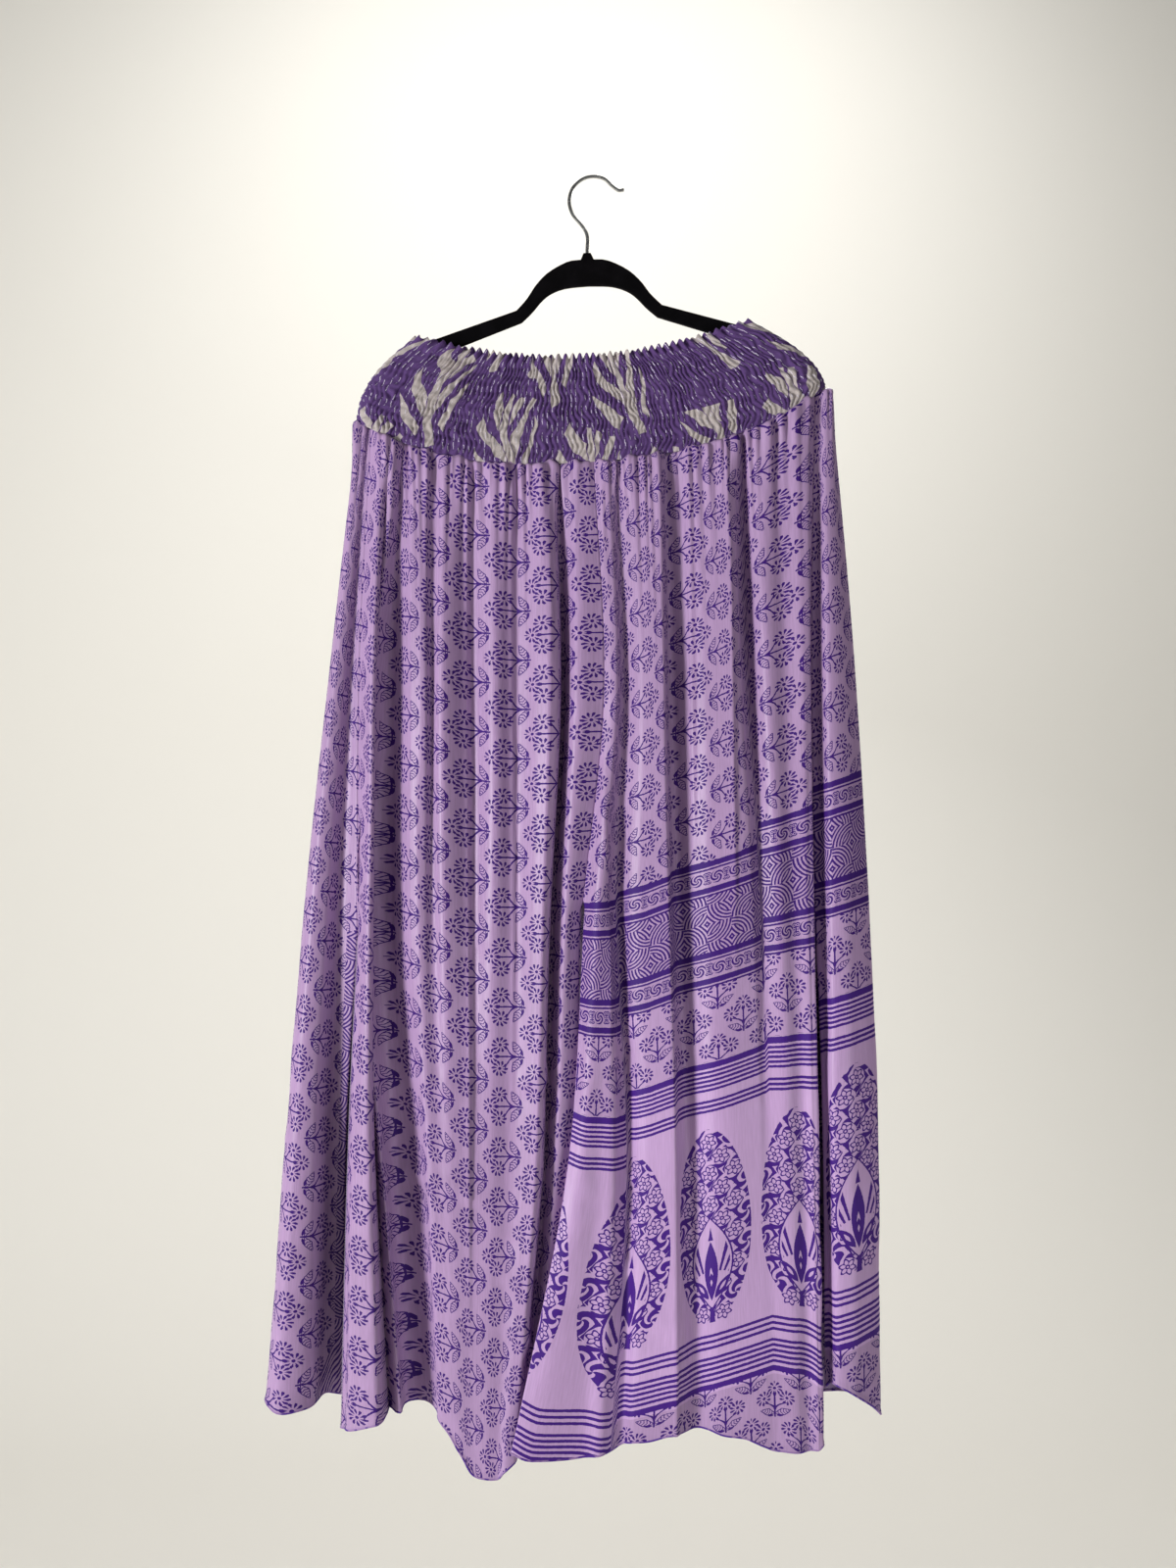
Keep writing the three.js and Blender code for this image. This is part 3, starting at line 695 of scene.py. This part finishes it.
def weaveOfRings(x, y):
    across, up, inner, outer = (ringLook[key] for key in ("across", "up", "inner", "outer"))
    s, t = wrap(x, across), wrap(y, up)
    one, two = length(s, t), length(wrap(x + across / 2, across), wrap(y + up / 2, up))
    onTop = band(one, inner, outer) & (((turn(s, t) * 2).do("SINE") > 0) | ~band(two, inner, outer))
    r = choose(two, one, onTop | (two < inner))
    return (r * (2 * math.pi / ringLook["pitch"])).do("COSINE") > 0.05


# rules and a scroll above and below a band of rings; d is the way down from the border's top
borderLook = {
    "rules": [(0, 6), (7.5, 9.4), (27.5, 33.5), (35, 37)], "scroll": (9.4, 26.2), "scrollAxis": 17.8,
    "rings": (37, 96), "ringAxis": 66, "repeat": 96, "repeatFrom": 81.5,
}


def border(x, d):
    look = borderLook
    e = d - (d > look["repeatFrom"]) * look["repeat"]
    rules = anyOf(*[band(e, *rule) for rule in look["rules"]])
    middle = band(e, *look["scroll"]) & scroll(x, e - look["scrollAxis"])
    rings = band(d, *look["rings"]) & ~weaveOfRings(x, d - look["ringAxis"])
    return rules | middle | rings


def fineRules(d, first, pitch, count, half):
    return (abs(wrap(d - first, pitch)) < half) & band(d, first - half, first + pitch * (count - 1) + half)


# a tall almond of outlined flowers and dark leaves over a bud in a fan; h is the height from its foot
almondLook = {
    "pitch": 90, "height": 202, "leafHalf": 40, "bloomHalf": 34, "bloomAcross": 24, "bloomUp": 33,
    "bloomRow": 188, "bloomRadius": 8.6,
}


def almondShape(x, h, wide):
    up, down = (part.do("MAXIMUM", 0) for part in (h / almondLook["height"], 1 - h / almondLook["height"]))
    return abs(x) < up.do("POWER", 0.45) * down.do("POWER", 0.55) * (wide / 0.503)


def almond(x, h):
    look = almondLook
    s = wrap(x, look["pitch"])
    p, q = halfDrop(s, h - look["bloomRow"], look["bloomAcross"], look["bloomUp"])
    r, angle = length(p, q), turn(p, q)
    petals = (angle * 6 + 1.57).do("COSINE")
    flower = band(r - petals * 1.3, 5.5, 7.2) | (band(r, 2.6, 5.6) & (petals < -0.72)) | band(r, 0.9, 2.3)
    blooms = almondShape(s - p, h - q, look["bloomHalf"])
    swirl = (angle * 3 + r * 0.55 + (s * 0.17).do("SINE") * 1.4).do("SINE") > -0.35
    leaves = (~(blooms & (r < look["bloomRadius"]))) & swirl & almondShape(s, h, look["leafHalf"])
    nest = (h - 60) * (h - 60) * -0.0094 + 22.5
    inNest = (abs(s) < nest) & band(h, 12, 109)
    k, side = length(s, h - 18), abs(turn(h - 18, s))
    tilt = wrap(side, 0.62)
    out, over = tilt.do("COSINE") * k - 19, abs(tilt.do("SINE") * k)
    lotus = (over < out * out * -0.026 + 4.4) & ~(over < (out - 1) * (out - 1) * -0.05 + 1.5) & (side < 1.6)
    bud = (h - 52) * (h - 52) * -0.0076 + 7.4
    core = (h - 46) * (h - 46) * -0.02 + 2.0
    fan = band(k, 34, 76) & ((side * 46).do("COSINE") > 0.1) & (side > 0.2) & (abs(s) < nest - 3.4)
    tip = band(h, 84, 98) & (abs(s) < h * -0.2 + 19.6)
    foot = band(h, -2, 14) & (abs(s) < h * -0.1 + 3.2)
    inside = band(abs(s) - nest, -1.7, 0) | fan | lotus | tip | ((abs(s) < bud) & ~(abs(s) < core))
    return choose((flower & blooms) | leaves, inside, inNest) | foot


# the whole print: 1 where the violet is; u runs round the leg and v up it, in millimetres
printPlan = {  # millimetres down from the border's top
    "sprigsTurn": 66, "borderEnd": 133, "sprigsEnd": 211, "almonds": (270, 492), "almondFoot": 484,
    "heavyRules": [(212, 218.5), (551, 557)], "fineRules": [(222, 4.7, 5, 1.3), (253, 5, 3, 1.4)],
    "lowRules": [(500, 6.3, 3, 1.5), (524, 5.6, 5, 1.5)], "lowEnd": 557,
    "selvage": -9.5, "selvageFrom": -500, "slant": 1.9, "slantFrom": 905,
}


def silkPrint(layout, u, v):
    plan = printPlan
    if layout == "allOver":
        return sprig(v, u * -1)
    if layout == "edged":  # the back of the left leg: the border's end shows beside the slit
        slant = v * -1 + u * plan["slant"] - plan["slantFrom"]
        selvage = (u > plan["selvage"]) & (v < plan["selvageFrom"])
        wave = (wrap(slant, 26) * 0.9 + (u * 0.42).do("SINE") * 2).do("SINE") > 0.1
        return choose(choose(sprig(v, u), ~weaveOfRings(v, u), selvage), wave, slant > 0)
    d = v * -1
    upright = d > plan["sprigsTurn"]
    strewn = (d < 0) | band(d, plan["borderEnd"], plan["sprigsEnd"]) | (d > plan["lowEnd"])
    sprigs = sprig(choose(v, u, upright), choose(u, v + 12, upright)) & strewn
    rules = anyOf(*[band(d, *rule) for rule in plan["heavyRules"]],
                  *[fineRules(d, *rule) for rule in plan["fineRules"] + plan["lowRules"]])
    almonds = almond(u - 44, plan["almondFoot"] - d) & band(d, *plan["almonds"])
    return anyOf(sprigs, border(u, d) & band(d, 0, plan["borderEnd"]), rules, almonds)


def newMaterial(name):
    material = bpy.data.materials.new(name)
    material.use_nodes = True
    material.node_tree.nodes.clear()
    return material, material.node_tree


def finishMaterial(tree, shader):
    addNode(tree, "ShaderNodeOutputMaterial", {"Surface": shader.outputs[0]})


def flatMap(tree):
    place = addNode(tree, "ShaderNodeUVMap", {}, uv_map="clothMap").outputs[0]
    parts = addNode(tree, "ShaderNodeSeparateXYZ", {0: place})
    return place, Value(tree, parts.outputs[0]) * 1000, Value(tree, parts.outputs[1]) * 1000


# block-printed silk: a soft lustre from long floats, fine slubs along the threads, print sunk into the
# cloth; below the border a painted sheen lightens the ground
silkLook = {
    # the reverse colours are the cloth's duller back, darkened further as painted shade for the recess
    # inside the slits where the reverse shows
    "ground": "#b091bb", "violet": "#330070", "reverse": "#9580a6", "reversePrint": "#4f3480",
    "inkShare": 0.97, "inkWander": 0.8, "slubTone": 0.42, "patchTone": 0.2,
    "paintedSheen": [((-560, -212), 0.24), ((-212, -133), 0.1)],  # painted sheen: two bands of lighter ground below the border, where the satin there should shine
}


def printedSilk(name, layout, isReverse=False):
    material, tree = newMaterial(name)
    place, u, v = flatMap(tree)
    wobble = addNode(tree, "ShaderNodeTexNoise", {"Vector": place, "Scale": 420.0, "Detail": 1.0})
    shift = addNode(tree, "ShaderNodeSeparateColor", {0: wobble.outputs["Color"]})
    printU = u + (Value(tree, shift.outputs[0]) - 0.5) * silkLook["inkWander"]
    printV = v + (Value(tree, shift.outputs[1]) - 0.5) * silkLook["inkWander"]
    inked = silkPrint(layout, printU, printV)
    threads = addNode(tree, "ShaderNodeMapping", {"Vector": place, "Scale": (900.0, 38.0, 1.0)})
    slubs = addNode(tree, "ShaderNodeTexNoise", {"Vector": threads.outputs[0], "Scale": 1.0, "Detail": 2.0})
    patches = addNode(tree, "ShaderNodeTexNoise", {"Vector": place, "Scale": 9.0, "Detail": 2.0})
    slub = Value(tree, slubs.outputs[0]) - 0.5
    tone = slub * silkLook["slubTone"] + (Value(tree, patches.outputs[0]) - 0.5) * silkLook["patchTone"]
    # painted sheen: the ground is made lighter in bands below the border on the bordered panels
    if layout == "bordered" and not isReverse:
        for span, gain in silkLook["paintedSheen"]:
            tone = tone + band(v, *span) * gain
    # the reverse takes the darkened colours: partly its own duller back, partly painted shade
    ground, violet = ("reverse", "reversePrint") if isReverse else ("ground", "violet")
    dyed = addNode(tree, "ShaderNodeMix", {0: inked * silkLook["inkShare"], 6: hexToLinear(silkLook[ground]),
                                           7: hexToLinear(silkLook[violet])}, data_type="RGBA")
    shaded = addNode(tree, "ShaderNodeHueSaturation", {"Value": tone + 1, "Color": dyed.outputs[2]})
    weave = addNode(tree, "ShaderNodeBump", {
        "Height": slubs.outputs[0], "Strength": 0.22, "Distance": 0.0004})
    shader = addNode(tree, "ShaderNodeBsdfPrincipled", {
        "Base Color": shaded.outputs[0], "Roughness": inked * 0.25 + 0.38, "Specular IOR Level": 0.2,
        "Normal": weave.outputs[0], "Sheen Weight": 0.02,
        "Sheen Roughness": 0.4, "Sheen Tint": hexToLinear("#e9d8f2")})
    finishMaterial(tree, shader)
    return material


# shirred crepe: matt, its pleats shaded by their own depth, pale elastic thread showing in short stitches
bandPrint = {
    "ground": "#5a3f76", "leaf": "#b7adab", "thread": "#dcd6e6", "across": 134, "up": 116,
    "bladePitch": 17, "bladeReach": 17, "stemEnd": 92, "rowPitch": 7.7, "rowShift": 2.9, "stitchHalf": 1.7,
}


def shirredCrepe(name, isReverse=False):
    material, tree = newMaterial(name)
    place, u, v = flatMap(tree)
    bends = addNode(tree, "ShaderNodeTexNoise", {"Vector": place, "Scale": 26.0, "Detail": 2.0})
    shift = addNode(tree, "ShaderNodeSeparateColor", {0: bends.outputs["Color"]})
    x = u + (Value(tree, shift.outputs[0]) - 0.5) * 26
    y = v + (Value(tree, shift.outputs[1]) - 0.5) * 20
    s, t = halfDrop(x * 0.94 + y * 0.34 + 20, y * 0.94 - x * 0.34 + 8,
                    bandPrint["across"], bandPrint["up"])
    lift = t + 42
    bend = s - lift * lift * 0.0035
    stem = (abs(bend) < lift * -0.02 + 4.6) & band(lift, -8, bandPrint["stemEnd"])
    rungs = abs(bend) * 0.8 - lift * 0.55
    blade = (rungs * (2 * math.pi / bandPrint["bladePitch"])).do("SINE") > abs(bend) * 0.03 - 0.4
    arch = (lift * (math.pi / 96)).do("SINE") * bandPrint["bladeReach"]
    reach = abs(abs(bend) - bandPrint["bladeReach"]) < arch
    bare = band(u, 318, 404) & (v > -62)
    leaves = (stem | (blade & reach & band(lift, 2, 94) & (abs(bend) > 4.5))) & ~bare
    weave = addNode(tree, "ShaderNodeTexNoise", {"Vector": place, "Scale": 900.0, "Detail": 2.0})
    tone = (Value(tree, weave.outputs[0]) - 0.5) * 0.5 + 1
    ground = addNode(tree, "ShaderNodeMix", {0: leaves, 6: hexToLinear(bandPrint["ground"]),
                                             7: hexToLinear(bandPrint["leaf"])}, data_type="RGBA")
    column = (u / bandLook["ribs"]).do("FLOOR")
    row = wrap(v + column * bandPrint["rowShift"], bandPrint["rowPitch"])
    dashes = addNode(tree, "ShaderNodeTexNoise", {"Vector": place, "Scale": 130.0, "Detail": 0.0})
    inRow = band(row, -bandPrint["stitchHalf"], bandPrint["stitchHalf"])
    stitch = inRow & band(wrap(u, bandLook["ribs"]), -0.45, 0.45) & (Value(tree, dashes.outputs[0]) > 0.5)
    threaded = addNode(tree, "ShaderNodeMix", {
        0: stitch * (0.15 if isReverse else 0.9), 6: ground.outputs[2], 7: hexToLinear(bandPrint["thread"])},
        data_type="RGBA")
    shaded = addNode(tree, "ShaderNodeHueSaturation", {"Value": tone, "Color": threaded.outputs[2]})
    bump = addNode(tree, "ShaderNodeBump", {"Height": weave.outputs[0], "Strength": 0.3, "Distance": 0.0004})
    finishMaterial(tree, addNode(tree, "ShaderNodeBsdfPrincipled", {
        "Base Color": shaded.outputs[0], "Roughness": 0.9, "Specular IOR Level": 0.25,
        "Normal": bump.outputs[0], "Sheen Weight": 0.1, "Sheen Roughness": 0.5,
        "Sheen Tint": hexToLinear("#cfc6dd")}))
    return material


# flocked plastic: near black, no gloss, a faint pale bloom where the nap turns edge on
def flockedPlastic():
    material, tree = newMaterial("black nylon flock")
    place = addNode(tree, "ShaderNodeTexCoord", {}).outputs["Object"]
    nap = addNode(tree, "ShaderNodeTexNoise", {"Vector": place, "Scale": 1600.0, "Detail": 2.0})
    worn = addNode(tree, "ShaderNodeTexNoise", {"Vector": place, "Scale": 60.0, "Detail": 3.0})
    dust = addNode(tree, "ShaderNodeMix", {0: (Value(tree, worn.outputs[0]) - 0.42) * 1.4,
                                           6: hexToLinear("#070608"), 7: hexToLinear("#141216")},
                   data_type="RGBA", clamp_factor=True)
    bump = addNode(tree, "ShaderNodeBump", {"Height": nap.outputs[0], "Strength": 0.5, "Distance": 0.0005})
    finishMaterial(tree, addNode(tree, "ShaderNodeBsdfPrincipled", {
        "Base Color": dust.outputs[2], "Roughness": 1.0, "Specular IOR Level": 0.08,
        "Normal": bump.outputs[0], "Sheen Weight": 0.12, "Sheen Roughness": 0.35,
        "Sheen Tint": hexToLinear("#8d8890")}))
    return material


# drawn steel wire, zinc plated: bright with faint lines along the draw
def platedWire():
    material, tree = newMaterial("plated steel wire")
    place = addNode(tree, "ShaderNodeTexCoord", {}).outputs["Object"]
    stain = addNode(tree, "ShaderNodeTexNoise", {"Vector": place, "Scale": 240.0, "Detail": 3.0})
    rough = Value(tree, stain.outputs[0]) * 0.25 + 0.12
    bump = addNode(tree, "ShaderNodeBump", {"Height": stain.outputs[0], "Strength": 0.1, "Distance": 0.0002})
    finishMaterial(tree, addNode(tree, "ShaderNodeBsdfPrincipled", {
        "Base Color": hexToLinear("#c9cacb"), "Metallic": 1.0, "Roughness": rough,
        "Normal": bump.outputs[0]}))
    return material


# silk rolled tight at the hem: print and ground pass over it in short lengths
def rolledSilk():
    material, tree = newMaterial("rolled silk hem")
    place = addNode(tree, "ShaderNodeTexCoord", {}).outputs["Object"]
    inked = addNode(tree, "ShaderNodeTexNoise", {"Vector": place, "Scale": 110.0, "Detail": 1.0})
    share = (Value(tree, inked.outputs[0]) - 0.46) * 9
    colour = addNode(tree, "ShaderNodeMix", {0: share, 6: hexToLinear("#9c7cb2"), 7: hexToLinear("#4f2590")},
                     data_type="RGBA", clamp_factor=True)
    threads = addNode(tree, "ShaderNodeTexNoise", {"Vector": place, "Scale": 900.0, "Detail": 2.0})
    bump = addNode(tree, "ShaderNodeBump", {
        "Height": threads.outputs[0], "Strength": 0.3, "Distance": 0.0003})
    finishMaterial(tree, addNode(tree, "ShaderNodeBsdfPrincipled", {
        "Base Color": colour.outputs[2], "Roughness": 0.5, "Specular IOR Level": 0.35,
        "Normal": bump.outputs[0]}))
    return material


# spun polyester thread: pale lilac, a little shine, its ply too fine to show but as a mottle
def sewingThread():
    material, tree = newMaterial("spun polyester thread")
    place = addNode(tree, "ShaderNodeTexCoord", {}).outputs["Object"]
    ply = addNode(tree, "ShaderNodeTexNoise", {"Vector": place, "Scale": 1300.0, "Detail": 1.0})
    colour = addNode(tree, "ShaderNodeMix", {0: ply.outputs[0], 6: hexToLinear("#a893bd"),
                                             7: hexToLinear("#dcd2e4")}, data_type="RGBA")
    finishMaterial(tree, addNode(tree, "ShaderNodeBsdfPrincipled", {
        "Base Color": colour.outputs[2], "Roughness": 0.55, "Specular IOR Level": 0.4}))
    return material


# Build
cloth = {}
for name in panels:
    cloth[name] = buildLeg(name)
for name, side in (("waistband_front", -1), ("waistband_back", 1)):
    cloth[name] = buildBand(name, side)
print("cloth shaped")

finishes = {
    "left_leg_front": "allOver", "left_leg_back": "edged",
    "right_leg_front": "bordered", "right_leg_back": "bordered",
}
made = {}
for layout in ("allOver", "edged", "bordered"):
    made[layout] = (printedSilk("printed silk crepe " + layout, layout),
                    printedSilk("silk crepe reverse " + layout, layout, isReverse=True))
made["band"] = (shirredCrepe("shirred crepe"), shirredCrepe("shirred crepe reverse", isReverse=True))
hemSilk, thread = rolledSilk(), sewingThread()
sewn = {name: [] for name in cloth}
for name in panels:
    for piece, material in ((buildHem(name), hemSilk), (buildOverlock(name), thread)):
        piece.data.materials.append(material)
        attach(piece, "root")
        sewn[name].append(piece)
print("hems sewn")

for name, piece in cloth.items():
    isBand = name.startswith("waistband")
    look = bandLook if isBand else leg
    giveThickness(piece, look["thickness"], *made["band" if isBand else finishes[name]])
    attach(piece, "root")
    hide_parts(name)
for name, material in (("hanger_body", flockedPlastic()), ("hanger_hook", platedWire())):
    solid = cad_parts[name]
    solid.data.materials.clear()
    solid.data.materials.append(material)
print("finishes made")


# Studio
studio = {
    "floor": -1.9, "front": -4, "wall": 2.6, "turn": 1.5, "turnSteps": 24, "rise": 5, "width": 6,
    "colour": "#e2dfd7", "glow": "#f2f1ee", "glowStrength": 0.13,
}


def addSweep():
    bm = bmesh.new()
    wide = studio["width"]
    ends = [bm.verts.new((x, studio["front"], studio["floor"])) for x in (-wide, wide)]
    lip = [bm.edges.new(ends)]

    def grow(move):
        grown = bmesh.ops.extrude_edge_only(bm, edges=lip)["geom"]
        bmesh.ops.translate(bm, verts=[g for g in grown if isinstance(g, bmesh.types.BMVert)], vec=move)
        across = [g for g in grown if isinstance(g, bmesh.types.BMEdge)]
        lip[:] = [e for e in across if abs(e.verts[0].co.x - e.verts[1].co.x) > 1]

    radius = studio["turn"]
    grow((0, studio["wall"] - radius - studio["front"], 0))
    for k in range(studio["turnSteps"]):
        a, b = (math.pi / 2 * (k + share) / studio["turnSteps"] for share in (0, 1))
        grow((0, radius * (math.sin(b) - math.sin(a)), radius * (math.cos(a) - math.cos(b))))
    grow((0, 0, studio["rise"]))
    mesh = bpy.data.meshes.new("studio_sweep")
    bm.to_mesh(mesh)
    bm.free()
    for face in mesh.polygons:
        face.use_smooth = True
    sweep = bpy.data.objects.new("studio_sweep", mesh)
    bpy.context.collection.objects.link(sweep)
    material, tree = newMaterial("pale studio paper")
    finishMaterial(tree, addNode(tree, "ShaderNodeBsdfPrincipled", {
        "Base Color": hexToLinear(studio["colour"]), "Roughness": 0.9}))
    mesh.materials.append(material)


addSweep()
lights = [  # name, place, aim, size, power
    ("key light", (-4.0, -2.9, -0.8), (0, 0, -0.98), 0.9, 212),
    ("fill light", (1.7, -1.7, -1.55), (0.2, 0, -1.2), 0.9, 12),
    ("back light", (0.6, 1.6, 0.9), (0, 0, -0.5), 1.2, 22),
    ("wall light", (0, 0.9, 1.6), (0, 2.6, -0.6), 2.0, 48),
]
for name, place, aim, size, power in lights:
    lamp = bpy.data.lights.new(name, "AREA")
    lamp.size = size
    lamp.energy = power
    lampObject = bpy.data.objects.new(name, lamp)
    lampObject.location = place
    lampObject.rotation_euler = (Vector(aim) - Vector(place)).to_track_quat("-Z", "Y").to_euler()
    bpy.context.collection.objects.link(lampObject)

world = bpy.data.worlds.new("studio")
world.use_nodes = True
bpy.context.scene.world = world
world.node_tree.nodes.clear()
glow = addNode(world.node_tree, "ShaderNodeBackground", {
    "Color": hexToLinear(studio["glow"]), "Strength": studio["glowStrength"]})
addNode(world.node_tree, "ShaderNodeOutputWorld", {"Surface": glow.outputs[0]})
bpy.context.scene.view_settings.view_transform = "Standard"
print("studio lit")
